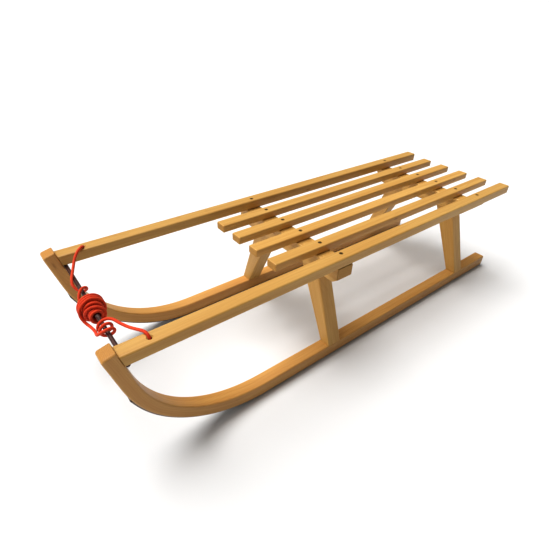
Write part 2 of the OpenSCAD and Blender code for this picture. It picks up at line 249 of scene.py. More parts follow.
def bar_material():
    """Dark lacquer on a round steel bar, rubbed a little in places."""
    n = Nodes("bar_lacquer")
    g = n.attr("grain")
    cloud = n.noise(n.scaled(g, (45, 120, 120)), 4, 0.6)
    fine = n.noise(n.scaled(g, (700, 700, 700)), 3, 0.6)
    colour = n.mix(n.range(cloud, 0.35, 0.7), srgb(80, 50, 44), srgb(56, 34, 30))
    rub = n.range(n.math("ADD", cloud, n.math("MULTIPLY", fine, 0.35)), 0.80, 0.92)
    colour = n.mix(n.math("MULTIPLY", rub, 0.6), colour, srgb(138, 122, 116))
    n.set(Base_Color=colour, Metallic=0.35, Roughness=n.range(fine, 0.3, 0.7, 0.34, 0.48))
    n.bump(fine, 0.2, 0.00005)
    return n.m


def rope_material():
    """Braided orange-red cord. Attribute grain holds metres along and round it, relief its plaits."""
    n = Nodes("rope_braid")
    g = n.attr("grain")
    relief = n.attr("relief", "Fac")
    fibre = n.noise(n.scaled(g, (1500, 5200, 1500)), 3, 0.6)
    drift = n.noise(n.scaled(g, (30, 60, 1)), 2, 0.5)
    colour = n.mix(n.range(drift, 0.35, 0.7), srgb(212, 68, 26), srgb(194, 52, 22))
    colour = n.mix(n.range(fibre, 0.42, 0.75, 0.0, 0.30), colour, srgb(222, 98, 46))
    # painted shade: the cord is darkened to a deep red in the low ground between its plaits, where shade
    # falls
    colour = n.mix(n.range(relief, 0.0, 0.55, 0.72, 0.0), colour, srgb(118, 14, 8))
    n.set(Base_Color=colour, Roughness=n.range(fibre, 0.3, 0.7, 0.62, 0.82))
    n.set(Sheen_Weight=0.10, Sheen_Roughness=0.45, Specular_IOR_Level=0.25)
    n.bump(fibre, 0.4, 0.00010)
    return n.m


WOOD = wood_material("golden_wood", srgb(205, 166, 96), srgb(188, 142, 72), srgb(140, 90, 40), 0.0032)
BENT = wood_material("bent_wood", srgb(206, 160, 92), srgb(190, 138, 72), srgb(138, 87, 39), 0.0026)
SHOE = steel_material("shoe_steel", srgb(128, 120, 114), srgb(88, 80, 76), (0.30, 0.52), srgb(92, 66, 50))
SCREW = steel_material("screw_steel", srgb(176, 148, 98), srgb(132, 106, 66), (0.26, 0.44))
BAR = bar_material()
ROPE = rope_material()


# ---------------------------------------------------------------- mesh helpers
def new_object(name, verts, faces, material, smooth_deg=38):
    mesh = bpy.data.meshes.new(name)
    mesh.from_pydata([tuple(v) for v in verts], [], faces)
    mesh.materials.append(material)
    obj = bpy.data.objects.new(name, mesh)
    SCENE.collection.objects.link(obj)
    tidy(obj, smooth_deg)
    return obj


def tidy(obj, smooth_deg=38):
    """Outward faces, smooth shading, and sharp edges where the surface really turns."""
    bm = bmesh.new()
    bm.from_mesh(obj.data)
    bmesh.ops.remove_doubles(bm, verts=bm.verts, dist=1e-7)
    bmesh.ops.recalc_face_normals(bm, faces=bm.faces)
    limit = math.radians(smooth_deg)
    for f in bm.faces:
        f.smooth = True
    for e in bm.edges:
        e.smooth = not (len(e.link_faces) == 2 and e.calc_face_angle(0.0) > limit)
    bm.to_mesh(obj.data)
    bm.free()
    obj.data.update()


def weigh_normals(obj):
    """Lets the large faces rule the shading of the rounded edges beside them."""
    m = obj.modifiers.new("weighted", "WEIGHTED_NORMAL")
    m.keep_sharp = True
    m.weight = 80


def ring_points(half, depth, corner, steps=4):
    """A rounded rectangle: across from -half to half, and from 0 to depth."""
    c = max(min(corner, half * 0.98, depth * 0.49), 1e-5)
    near, far = half - c, depth - c
    out = []
    for cx, cy, a0 in ((near, c, -90), (near, far, 0), (-near, far, 90), (-near, c, 180)):
        for i in range(steps + 1):
            a = math.radians(a0 + 90 * i / steps)
            out.append((cx + c * math.cos(a), cy + c * math.sin(a)))
    return out


def inset(r, h):
    """How far an edge rounded with radius r stands back, h below the end face."""
    return 0.0 if h >= r else r - math.sqrt(max(r * r - (r - h) ** 2, 0.0))


def cap(p, q, along, normal, radii, steps=7):
    """Stations that round off an end. along leads out of it, normal is its face's, and radii are
    those of the p edge, the q edge and the sides."""
    rp, rq, rs = radii
    top = max(radii)
    out = []
    for i in range(steps + 1):
        h = top * (1 - math.sin(math.radians(90 * i / steps)))
        shift = -along * (h / along.dot(normal))
        out.append((p + shift, q + shift, inset(rp, h), inset(rq, h), inset(rs, h)))
    return out


def sweep(name, stations, across, width, corner, material):
    """A bar of rounded rectangular section. A station is (p, q, in_p, in_q, in_side), where
    p and q are the middles of two opposite faces, and across is the width's direction. Gives
    the piece, each station's distance from the start, and the number of points at a station."""
    verts, faces, along = [], [], [0.0]
    for i, (p, q, ip, iq, si) in enumerate(stations):
        a = (q - p).normalized()
        p2, q2 = p + a * ip, q - a * iq
        for d, t in ring_points(width / 2 - si, (q2 - p2).length, max(corner - 0.7 * si, 0.0003)):
            verts.append(p2 + across * d + a * t)
        if i:
            old = stations[i - 1]
            along.append(along[-1] + ((p + q) / 2 - (old[0] + old[1]) / 2).length)
    n = len(verts) // len(stations)
    for i in range(len(stations) - 1):
        for k in range(n):
            a, b = i * n + k, i * n + (k + 1) % n
            faces.append((a, b, b + n, a + n))
    faces.append(tuple(range(n))[::-1])
    faces.append(tuple(range(len(verts) - n, len(verts))))
    return new_object(name, verts, faces, material), along, n


def write(obj, name, kind, domain, values):
    """Stores one value for each point or face, for a material to read."""
    attribute = obj.data.attributes.new(name, kind, domain)
    key = "vector" if kind == "FLOAT_VECTOR" else "value"
    attribute.data.foreach_set(key, np.asarray(values, np.float32).ravel())


def coords(obj):
    """The piece's points, one in each row."""
    co = np.zeros(len(obj.data.vertices) * 3, np.float32)
    obj.data.vertices.foreach_get("co", co)
    return co.reshape(-1, 3)


def face_axis_share(obj, axes):
    """How squarely each face looks along the grain."""
    normals = np.array([f.normal for f in obj.data.polygons], float).reshape(-1, 3)
    return np.clip((np.abs((normals * axes).sum(1)) - 0.55) / 0.35, 0, 1)


def log_place(obj):
    """Where in a log the piece was sawn, and how light it is, both by chance."""
    n = len(obj.data.vertices)
    side = RNG.choice([-1.0, 1.0])
    seed = (side * RNG.uniform(0.012, 0.045), RNG.uniform(0.02, 0.07), RNG.uniform(0, 9))
    write(obj, "seed", "FLOAT_VECTOR", "POINT", np.tile(seed, (n, 1)))
    write(obj, "tone", "FLOAT", "POINT", np.full(n, RNG.uniform(-0.8, 0.8)))


def straight_grain(obj, axis, wood=True):
    """Grain coordinates of a straight piece: along axis, and along the two directions square to it."""
    axis = Vector(axis).normalized()
    side = Vector((0, 0, 1)).cross(axis)
    side = side.normalized() if side.length > 1e-3 else Vector((0, 1, 0))
    third = axis.cross(side)
    co = coords(obj)
    mid = (co.max(0) + co.min(0)) / 2
    m = np.array([axis, side, third], float)
    write(obj, "grain", "FLOAT_VECTOR", "POINT", (co - mid) @ m.T)
    if wood:
        write(obj, "ends", "FLOAT", "FACE", face_axis_share(obj, np.array(axis, float)))
        log_place(obj)


def lathe(profile, at, axis, sides):
    """Turns a profile of (radius, height) round an axis through at. Radius 0 closes it."""
    verts, faces, rows = [], [], []
    turn = Vector((0, 0, 1)).rotation_difference(Vector(axis)).to_matrix()
    for r, z in profile:
        if r < 1e-9:
            rows.append([len(verts)])
            verts.append(Vector((0, 0, z)))
        else:
            rows.append(list(range(len(verts), len(verts) + sides)))
            for i in range(sides):
                a = 2 * math.pi * i / sides
                verts.append(Vector((r * math.cos(a), r * math.sin(a), z)))
    for a, b in zip(rows, rows[1:]):
        for i in range(sides):
            j = (i + 1) % sides
            if len(a) == 1:
                faces.append((a[0], b[i], b[j]))
            elif len(b) == 1:
                faces.append((a[i], b[0], a[j]))
            else:
                faces.append((a[i], b[i], b[j], a[j]))
    return [turn @ v + Vector(at) for v in verts], faces


def merged(parts):
    """Several solids as the points and faces of one mesh."""
    verts, faces = [], []
    for v, f in parts:
        faces += [tuple(i + len(verts) for i in face) for face in f]
        verts += v
    return verts, faces


def carve(obj, parts):
    """Cuts closed solids out of a piece."""
    verts, faces = merged(parts)
    mesh = bpy.data.meshes.new("cutter")
    mesh.from_pydata([tuple(v) for v in verts], [], faces)
    tool = bpy.data.objects.new("cutter", mesh)
    SCENE.collection.objects.link(tool)
    tidy(tool)
    m = obj.modifiers.new("cut", "BOOLEAN")
    m.operation, m.solver, m.object = "DIFFERENCE", "EXACT", tool
    bpy.context.view_layer.update()
    done = bpy.data.meshes.new_from_object(obj.evaluated_get(bpy.context.evaluated_depsgraph_get()))
    obj.modifiers.clear()
    old = obj.data
    obj.data = done
    obj.data.name = obj.name
    bpy.data.meshes.remove(old)
    bpy.data.objects.remove(tool)
    tidy(obj)


def place(obj, *nodes):
    """Puts a finished piece in the place of its CAD nodes."""
    weigh_normals(obj)
    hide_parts(*nodes)
    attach(obj, "root")


# ---------------------------------------------------------------- measures, from the CAD frame
X, Y, Z = Vector((1, 0, 0)), Vector((0, 1, 0)), Vector((0, 0, 1))
SIDES = (("left", 1), ("right", -1))
RUN_LO, RUN_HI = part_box("runner_left")
SHOE_LO, SHOE_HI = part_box("shoe_left")
BAR_LO, BAR_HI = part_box("tow_bar")
GAUGE_Y = (RUN_LO.y + RUN_HI.y) / 2
RUN_W = RUN_HI.y - RUN_LO.y
WOOD_Z = RUN_LO.z
# a runner's depth on the ground and at its tip, the radii of its lower and upper bend, how far
# each has turned at its end, and its straight length on the ground
RUN_H, TOE_T = 0.029, 0.0225
LOW_R, HIGH_R, MID_DEG, TOE_DEG = 0.286, 0.229, 44.0, 76.0
BASE_LEN = 0.817
BEND_X = RUN_LO.x + BASE_LEN
BAR_X, BAR_Z = (BAR_LO.x + BAR_HI.x) / 2, (BAR_LO.z + BAR_HI.z) / 2
BAR_R = (BAR_HI.z - BAR_LO.z) / 2


def turn_dir(deg):
    """From a bend's centre towards the ground, turned forward by deg."""
    a = math.radians(deg)
    return Vector((math.sin(a), 0, -math.cos(a)))


LOW_C = Vector((BEND_X, 0, WOOD_Z + LOW_R))
HIGH_C = LOW_C + (LOW_R - HIGH_R) * turn_dir(MID_DEG)
TOE_DIR = Vector((math.cos(math.radians(TOE_DEG)), 0, math.sin(math.radians(TOE_DEG))))


# ---------------------------------------------------------------- pull cord
# The cord's points, in millimetres, for cord holes at ROUTE_HOLE_X. They are moved to the
# frame's holes below, and become metres.
ROUTE_HOLE_X = 475.65
RIGHT_ROUTE = [
    (475.65, -153, 248), (475.65, -153, 251), (475.8, -152.2, 255.6), (476.8, -149.6, 259.6),
    (479.8, -145.2, 262), (485.5, -139.5, 262.3), (493, -132.5, 259.5), (501, -122.5, 254),
    (508, -110.5, 247.5), (514, -99, 242.5), (520, -86, 238), (522.5, -75, 232), (518, -66, 225.5),
    (511, -59, 225), (506, -52, 231.5), (508, -45.5, 240), (515, -41, 243.2), (521.5, -35, 239.7),
    (525.5, -28.5, 233), (525.5, -22.5, 226.5), (522, -17.8, 221.5), (516.5, -14.6, 219.4),
]
LEFT_ROUTE = [
    (530, 7.5, 244.5), (535.5, 9.5, 236), (536, 12.5, 226), (532.8, 18, 217.5), (529, 27, 214.2),
    (527.5, 38, 216), (527, 50, 219), (528, 60, 222.5), (528.8, 69, 227.5), (526.8, 77, 234.5),
    (521.8, 82.8, 241), (514.5, 84.8, 243.6), (507.5, 83, 240.8), (504.3, 80.2, 234), (506, 77.5, 227.3),
    (512.5, 75, 223.4), (520, 73.5, 225.2), (524.5, 72.5, 232.2), (522, 71.7, 239.5), (515, 71, 243.2),
    (507.5, 69.7, 241), (504.2, 68, 234.2), (506, 66.5, 227.3), (512.5, 65, 223.4), (520, 64, 225.2),
    (524.5, 63.3, 232.2), (522, 62.5, 240), (515.5, 62, 244.5), (508.5, 64, 246.8), (502, 70, 247.2),
    (496, 86, 247.6), (490, 103, 249.6), (484.5, 119, 254.2), (480.8, 131, 258.8), (478.4, 140, 261.8),
    (477, 146, 262), (476.1, 150, 259.6), (475.75, 152.2, 255.6), (475.65, 153, 251), (475.65, 153, 248),
]
CORD_D, KNOT_CORD_D = 0.005, 0.0042
PLAIT_LEN, PLAIT_RELIEF = 0.0026, 0.00032
COIL_FROM, COIL_TO = 0.29, 15.72


def coil_points():
    """The winding on the bar, in three layers. Each row below is (turns so far, y, radius, how far
    the turn's centre hangs below the bar)."""
    table = np.array([
        (0.0, -14.5, 10.0, 3.4), (0.2, -12.4, 10.0, 3.4), (0.7, -8.0, 10.0, 3.4), (6.6, 23.0, 10.0, 3.4),
        (7.6, 28.3, 9.8, 3.2), (8.0, 30.2, 10.0, 3.2), (8.25, 29.4, 12.0, 3.4), (8.5, 25.5, 14.2, 3.4),
        (9.0, 15.2, 15.1, 3.4), (12.8, -5.0, 15.1, 3.4), (13.15, -5.8, 18.0, 3.4), (13.5, -4.4, 20.0, 3.4),
        (15.78, 8.6, 20.1, 3.4),
    ])
    out = []
    for t in np.linspace(COIL_FROM, COIL_TO, 15 * 18):
        y, r, low = (float(np.interp(t, table[:, 0], table[:, k])) for k in (1, 2, 3))
        a = math.radians(-20 - 360 * t)
        layer = 0.4 if t < 8 else 1.0
        r += layer * (0.22 * math.sin(2.3 * t + 1.0) + 0.18 * math.sin(5.1 * t))
        y += layer * (0.4 * math.sin(1.7 * t) + 0.9 * math.cos(a) * math.sin(0.6 * t + 0.5))
        # the outer turns lie aslant, further left at the bottom than at the top
        y -= float(np.interp(t, (8.8, 10, 12.9, 14, 15.5), (0, 1.2, 1.2, 2.6, 4.6))) * math.sin(a)
        out.append((BAR_X * 1000 + r * math.cos(a), y, BAR_Z * 1000 - low + r * math.sin(a)))
    return out


def smooth_line(points, step):
    """A smooth curve through the points, as evenly spaced points."""
    p = np.array(points, float)
    p = np.vstack([2 * p[0] - p[1], p, 2 * p[-1] - p[-2]])
    dense = []
    for i in range(1, len(p) - 2):
        t0 = 0.0
        t1 = t0 + math.sqrt(np.linalg.norm(p[i] - p[i - 1]))
        t2 = t1 + math.sqrt(np.linalg.norm(p[i + 1] - p[i]))
        t3 = t2 + math.sqrt(np.linalg.norm(p[i + 2] - p[i + 1]))
        for t in np.linspace(t1, t2, 12, endpoint=False):
            a1 = (t1 - t) / (t1 - t0) * p[i - 1] + (t - t0) / (t1 - t0) * p[i]
            a2 = (t2 - t) / (t2 - t1) * p[i] + (t - t1) / (t2 - t1) * p[i + 1]
            a3 = (t3 - t) / (t3 - t2) * p[i + 1] + (t - t2) / (t3 - t2) * p[i + 2]
            b1 = (t2 - t) / (t2 - t0) * a1 + (t - t0) / (t2 - t0) * a2
            b2 = (t3 - t) / (t3 - t1) * a2 + (t - t1) / (t3 - t1) * a3
            dense.append((t2 - t) / (t2 - t1) * b1 + (t - t1) / (t2 - t1) * b2)
    dense.append(p[-2])
    line = spaced(np.array(dense), 0.4)
    # rope is too stiff for the small kinks that are left at the points
    for _ in range(30):
        line[1:-1] = 0.25 * line[:-2] + 0.5 * line[1:-1] + 0.25 * line[2:]
    return spaced(line, step)


def spaced(line, step):
    """The same line with its points about step apart."""
    along = np.r_[0, np.cumsum(np.linalg.norm(np.diff(line, axis=0), axis=1))]
    at = np.linspace(0, along[-1], max(2, round(along[-1] / step)) + 1)
    return np.stack([np.interp(at, along, line[:, k]) for k in range(3)], 1)


def braided_tube(name, line, diameter, plaits=8, per_plait=4):
    """A tube along line with the diamonds of a braid standing on it, as real relief."""
    sides = plaits * per_plait
    tangent = np.gradient(line, axis=0)
    tangent /= np.linalg.norm(tangent, axis=1)[:, None]
    u = np.array([0.31, 0.52, 0.79])
    ring_u = []
    for t in tangent:
        u = u - u.dot(t) * t
        u = u / np.linalg.norm(u)
        ring_u.append(u)
    ring_u = np.array(ring_u)
    ring_v = np.cross(tangent, ring_u)
    s = np.r_[0, np.cumsum(np.linalg.norm(np.diff(line, axis=0), axis=1))][:, None]
    phi = (np.arange(sides) / sides)[None, :]
    a = plaits * phi + s / PLAIT_LEN + 0.125
    b = plaits * phi - s / PLAIT_LEN + 0.125
    fa, fb = a - np.floor(a), b - np.floor(b)
    over = (np.floor(a) + np.floor(b)) % 2 < 0.5
    ridge = np.where(over, np.sin(np.pi * fa) ** 0.8 * (0.55 + 0.45 * np.sin(np.pi * fb)),
                     np.sin(np.pi * fb) ** 0.8 * (0.55 + 0.45 * np.sin(np.pi * fa)))
    radius = diameter / 2 + PLAIT_RELIEF * (ridge - 0.62)
    angle = 2 * np.pi * phi
    verts = (line[:, None, :] + (radius * np.cos(angle))[..., None] * ring_u[:, None, :]
             + (radius * np.sin(angle))[..., None] * ring_v[:, None, :])
    n = len(line)
    faces = []
    for i in range(n - 1):
        for k in range(sides):
            j = (k + 1) % sides
            faces.append((i * sides + k, i * sides + j, (i + 1) * sides + j, (i + 1) * sides + k))
    faces.append(tuple(range(sides))[::-1])
    faces.append(tuple(range((n - 1) * sides, n * sides)))
    mesh = bpy.data.meshes.new(name)
    mesh.from_pydata(verts.reshape(-1, 3).tolist(), [], faces)
    mesh.materials.append(ROPE)
    mesh.polygons.foreach_set("use_smooth", [True] * len(mesh.polygons))
    obj = bpy.data.objects.new(name, mesh)
    SCENE.collection.objects.link(obj)
    grain = np.stack([np.broadcast_to(s, ridge.shape), np.broadcast_to(phi * np.pi * diameter, ridge.shape),
                      np.zeros_like(ridge)], -1)
    write(obj, "grain", "FLOAT_VECTOR", "POINT", grain.reshape(-1, 3))
    write(obj, "relief", "FLOAT", "POINT", ridge.ravel())
    return obj


def knot_line(x, y, top_z, flip):
    """An overhand knot, pulled tight, with a short free end below. top_z is its pocket's upper end."""
    out = []
    for t in np.linspace(0, 2 * math.pi, 90):
        r = 3.3 + 1.7 * math.cos(3 * t)
        z = -5.6 + 2.3 * math.sin(3 * t)
        out.append((x + r * math.cos(2 * t) * flip, y + r * math.sin(2 * t), top_z + z))
    out = out[4:-4]
    last = out[-1]
    out += [(x + 3.4 * flip, y + 1.6, last[2] - 3.2), (x + 3.9 * flip, y + 2.2, last[2] - 6.4)]
    return spaced(np.array(out), 0.7) / 1000


hole_lo, hole_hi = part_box("cord_knot_left")
HOLE_X = (hole_lo.x + hole_hi.x) / 2
ROUTE_SHIFT = HOLE_X * 1000 - ROUTE_HOLE_X
right = [(x + ROUTE_SHIFT, y, z) for x, y, z in RIGHT_ROUTE]
left = [(x + ROUTE_SHIFT, y, z) for x, y, z in LEFT_ROUTE]
line = smooth_line(right + coil_points() + left, 0.7) / 1000
cord = braided_tube("pull_cord", line, CORD_D)
for word, side in SIDES:
    knot = knot_line(HOLE_X * 1000, side * GAUGE_Y * 1000, RIGHT_ROUTE[0][2], side)
    piece = braided_tube("stopper_knot_" + word, knot, KNOT_CORD_D, per_plait=3)
    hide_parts("cord_knot_" + word)
    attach(piece, "root")
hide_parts("cord_run_left", "cord_run_right", "cord_coil")
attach(cord, "root")


# ---------------------------------------------------------------- runners and shoes
def runner_stations(offset_p, thick):
    """Stations from the rear end to the start of the straight tip, with their outer face offset_p
    outside the runner's. thick gives the depth at a share of the lower bend."""
    out = []
    for i in range(11):
        p = Vector((RUN_LO.x + BASE_LEN * i / 10, 0, WOOD_Z - offset_p))
        out.append((p, p + Z * thick(0)))
    for i in range(1, 31):
        a = MID_DEG * i / 30
        d = turn_dir(a)
        out.append((LOW_C + (LOW_R + offset_p) * d, LOW_C + (LOW_R + offset_p - thick(i / 30)) * d))
    for i in range(1, 25):
        a = MID_DEG + (TOE_DEG - MID_DEG) * i / 24
        d = turn_dir(a)
        out.append((HIGH_C + (HIGH_R + offset_p) * d, HIGH_C + (HIGH_R + offset_p - thick(1)) * d))
    return out


def runner_depth(share):
    """The runner tapers smoothly through its lower bend."""
    return RUN_H + (TOE_T - RUN_H) * share * share * (3 - 2 * share)


def make_runner(word, side):
    """Flat on the ground, bent up at the front, with the tip's end cut square to the tip."""
    shift = Y * (side * GAUGE_Y)
    body = runner_stations(0.0, runner_depth)
    heel = cap(*body[0], -X, -X, (0.0022,) * 3)[::-1]
    stations = heel + [(p, q, 0, 0, 0) for p, q in body[1:]]
    p0, q0 = body[-1]
    top_q = q0 + TOE_DIR * ((RUN_HI.z - q0.z) / TOE_DIR.z)
    top_p = top_q + (p0 - q0)
    tip = cap(top_p, top_q, TOE_DIR, TOE_DIR, (0.005, 0.0012, 0.0034), 9)
    for share in (0.25, 0.5, 0.75):
        stations.append((p0.lerp(tip[0][0], share), q0.lerp(tip[0][1], share), 0, 0, 0))
    stations += tip
    stations = [(p + shift, q + shift, a, b, c) for p, q, a, b, c in stations]
    obj, along, per_station = sweep("runner_" + word + "_wood", stations, Y, RUN_W, 0.0032, BENT)
    co = coords(obj)
    across = co[:, 1] - shift.y
    station = np.arange(len(co)) // per_station
    depth = np.zeros(len(co))
    axes = np.zeros((len(stations), 3))
    for i, (p, q, _, _, _) in enumerate(stations):
        a = np.array((q - p).normalized())
        depth[station == i] = (co[station == i] - np.array(p)) @ a
        axes[i] = np.cross(a, (0, 1, 0))
    write(obj, "grain", "FLOAT_VECTOR", "POINT", np.stack([np.array(along)[station], across, depth], 1))
    of_face = np.array([min(f.vertices) // per_station for f in obj.data.polygons])
    cut = face_axis_share(obj, axes[of_face])
    cut[(of_face > len(heel)) & (of_face < len(stations) - len(tip) - 1)] = 0
    write(obj, "ends", "FLOAT", "FACE", cut)
    log_place(obj)
    place(obj, "runner_" + word)


def make_shoe(word, side):
    """The steel shoe follows the runner's ground side."""
    shift = Y * (side * GAUGE_Y)
    strip = WOOD_Z - SHOE_LO.z
    body = runner_stations(strip, lambda share: strip)
    body[0] = tuple(point + X * (SHOE_LO.x - RUN_LO.x) for point in body[0])
    body = [(p, q) for p, q in body if q.z < SHOE_HI.z - 0.004]
    p_end, q_end = body[-1]
    lean = (p_end - body[-2][0]).normalized()
    top_p = p_end + lean * ((SHOE_HI.z - p_end.z) / lean.z)
    top_q = q_end + lean * ((SHOE_HI.z - q_end.z) / lean.z)
    stations = cap(*body[0], -X, -X, (0.0007, 0.0003, 0.003), 5)[::-1]
    stations += [(p, q, 0, 0, 0) for p, q in body[1:]]
    stations += cap(top_p, top_q, lean, Z, (0.0009, 0.0002, 0.004), 6)
    stations = [(p + shift, q + shift, a, b, c) for p, q, a, b, c in stations]
    width = SHOE_HI.y - SHOE_LO.y
    obj, along, per_station = sweep("shoe_" + word + "_steel", stations, Y, width, 0.0006, SHOE)
    co = coords(obj)
    station = np.arange(len(co)) // per_station
    grain = np.stack([np.array(along)[station], co[:, 1] - shift.y, np.zeros(len(co))], 1)
    write(obj, "grain", "FLOAT_VECTOR", "POINT", grain)
    place(obj, "shoe_" + word)


for word, side in SIDES:
    make_runner(word, side)
    make_shoe(word, side)


# ---------------------------------------------------------------- straight wooden pieces
def bar_x(name, node, corner, ends, slant=0.0):
    """A piece along X with rounded edges. slant is how far its front end leans back per unit of height."""
    lo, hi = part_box(node)
    y = (lo.y + hi.y) / 2
    p0, q0 = Vector((lo.x, y, lo.z)), Vector((lo.x, y, hi.z))
    q1 = Vector((hi.x, y, hi.z))
    p1 = q1 - Z * (hi.z - lo.z) - X * slant * (hi.z - lo.z)
    normal = Vector((1, 0, -slant)).normalized()
    stations = cap(p0, q0, -X, -X, (ends[0],) * 3)[::-1]
    stations += [(p0.lerp(p1, s), q0.lerp(q1, s), 0, 0, 0) for s in (0.25, 0.5, 0.75)]
    stations += cap(p1, q1, X, normal, (ends[1],) * 3)
    return sweep(name, stations, Y, hi.y - lo.y, corner, WOOD)[0]


def island_boxes(node):
    """The box of each separate solid of a CAD node, as its low and high corner."""
    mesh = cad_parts[node].data
    bm = bmesh.new()
    bm.from_mesh(mesh)
    bmesh.ops.remove_doubles(bm, verts=bm.verts, dist=1e-6)
    left, out = set(bm.verts), []
    while left:
        stack, seen = [next(iter(left))], set()
        while stack:
            v = stack.pop()
            if v in seen:
                continue
            seen.add(v)
            stack += [e.other_vert(v) for e in v.link_edges]
        left -= seen
        co = np.array([v.co for v in seen])
        out.append((Vector(co.min(0)), Vector(co.max(0))))
    bm.free()
    return sorted(out, key=lambda b: tuple(round(x, 4) for x in b[0]))


HEAD_R, SHANK_R = 0.004, 0.002
SINK_R, SINK_DEPTH = 0.0042, 0.0036
SHOE_HEAD_R, SHOE_SHANK_R = 0.0035, 0.00175
SHOE_SINK_R, SHOE_SINK_DEPTH = 0.0037, 0.0030


def sink_cut(top, up, r, depth):
    """The recess for a countersunk head, with up pointing out of the piece."""
    profile = [(0, -depth), (r - depth + 0.0006, -depth), (r, -0.0001), (r, 0.003), (0, 0.003)]
    return lathe(profile, top, up, 40)


BOX_FACES = [(0, 1, 2, 3), (7, 6, 5, 4), (0, 4, 5, 1), (1, 5, 6, 2), (2, 6, 7, 3), (3, 7, 4, 0)]


def cross_screw(head, up, head_r, shank_r, length, turn):
    """A countersunk screw with a cross recess. head is the middle of its top face, and turn the
    angle at which its cross stands."""
    cone = head_r - shank_r
    verts, faces = lathe([(0, -length), (shank_r * 0.25, -length + 0.0006), (shank_r, -length + 0.005),
                          (shank_r, -cone - 0.0003), (head_r * 0.97, -0.0004), (head_r, -0.0002),
                          (head_r * 0.985, 0.0), (0, 0.0)], (0, 0, 0), (0, 0, 1), 40)
    mesh = bpy.data.meshes.new("screw")
    mesh.from_pydata([tuple(v) for v in verts], [], faces)
    obj = bpy.data.objects.new("screw", mesh)
    SCENE.collection.objects.link(obj)
    tidy(obj)
    slots = []
    for k in range(2):
        a = math.radians(90 * k + turn)
        d, s = Vector((math.cos(a), math.sin(a), 0)), Vector((-math.sin(a), math.cos(a), 0))
        # the two bars of the cross differ a little in size, so that no faces coincide
        half_w, more = head_r * (0.115 + 0.002 * k), 0.01 * k
        low, high = (-head_r * (0.55 + more), head_r * (0.30 + more)), (0.0006, head_r * (0.60 + more))
        box = []
        for z, reach in (low, high):
            box += [d * reach + s * half_w + Z * z, d * -reach + s * half_w + Z * z,
                    d * -reach - s * half_w + Z * z, d * reach - s * half_w + Z * z]
        slots.append((box, BOX_FACES))
    for part in slots:
        carve(obj, [part])
    rot = Z.rotation_difference(Vector(up)).to_matrix()
    verts = [rot @ v.co + Vector(head) for v in obj.data.vertices]
    faces = [tuple(f.vertices) for f in obj.data.polygons]
    bpy.data.objects.remove(obj)
    return verts, faces


def screw_piece(name, node, up, head_r, shank_r):
    """All the countersunk screws of one CAD node, each turned by chance."""
    parts = []
    for lo, hi in island_boxes(node):
        mid = (lo + hi) / 2
        head = Vector((mid.x, mid.y, hi.z if up.z > 0 else lo.z))
        parts.append(cross_screw(head, up, head_r, shank_r, hi.z - lo.z, float(RNG.uniform(0, 90))))
    verts, faces = merged(parts)
    obj = new_object(name, verts, faces, SCREW, 30)
    straight_grain(obj, X, False)
    place(obj, node)


def screw_heads(nodes, up):
    """The middle of each head's top face."""
    return [Vector(((lo.x + hi.x) / 2, (lo.y + hi.y) / 2, hi.z if up > 0 else lo.z))
            for node in nodes for lo, hi in island_boxes(node)]


DECK_HEADS = screw_heads(("slat_screws_front", "slat_screws_rear", "rail_screws"), 1)
# how deep a beam is at its end, and how far its underside slopes in from there
BEAM_ENDS = {"front": (0.026, 0.014), "rear": (0.003, 0.034)}
# how far a leg's head stands inside its foot, and how wide the leg is there
LEG_SPLAY, LEG_HEAD_W = 0.070, 0.050
POCKET_R, POCKET_DEPTH = 0.0075, 0.0125
CORD_HOLE_R, MOUTH_R, MOUTH_DEPTH = 0.00325, 0.0060, 0.0022


def deck_sinks(lo, hi):
    """The recesses for the heads that stand over a piece with this box."""
    return [sink_cut(h, Z, SINK_R, SINK_DEPTH) for h in DECK_HEADS if lo.y < h.y < hi.y]


def make_slat(node):
    obj = bar_x(node + "_wood", node, 0.0028, (0.0022, 0.0022))
    carve(obj, deck_sinks(*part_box(node)))
    straight_grain(obj, X)
    place(obj, node)


def make_side_rail(node, side):
    """The rail's front end fits the leaning tip. The cord goes through it, from a pocket below."""
    lo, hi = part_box(node)
    obj = bar_x(node + "_wood", node, 0.0034, (0.0024, 0.0008), 1 / math.tan(math.radians(TOE_DEG)))
    top, past = hi.z - lo.z, 0.0006
    hole = [(0, -0.001), (POCKET_R, -0.001), (POCKET_R, POCKET_DEPTH), (CORD_HOLE_R, POCKET_DEPTH),
            (CORD_HOLE_R, top - MOUTH_DEPTH), (MOUTH_R, top + past), (0, top + past)]
    carve(obj, deck_sinks(lo, hi) + [lathe(hole, (HOLE_X, side * GAUGE_Y, lo.z), Z, 48)])
    straight_grain(obj, X)
    place(obj, node)


def make_cross_beam(node, end_h, run):
    """A beam whose underside slopes up towards both ends, where it is end_h deep."""
    lo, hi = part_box(node)
    mid_x, half = (lo.x + hi.x) / 2, hi.y
    turns = (-half, run - half, half - run, half)
    corners = [(Vector((mid_x, y, lo.z)), Vector((mid_x, y, hi.z))) for y in turns]
    stations = cap(*corners[0], -Y, -Y, (0.0014,) * 3)[::-1]
    for a, b in zip(corners, corners[1:]):
        stations += [(a[0].lerp(b[0], s), a[1].lerp(b[1], s), 0, 0, 0) for s in (0.04, 0.5, 0.96)]
    stations += cap(*corners[-1], Y, Y, (0.0014,) * 3)
    shaped = []
    for p, q, *insets in stations:
        share = min(max((half - abs(p.y)) / run, 0), 1)
        end_z = hi.z - end_h
        shaped.append((Vector((p.x, p.y, end_z + (lo.z - end_z) * share)), q, *insets))
    obj = sweep(node + "_wood", shaped, X, hi.x - lo.x, 0.0028, WOOD)[0]
    straight_grain(obj, Y)
    place(obj, node)


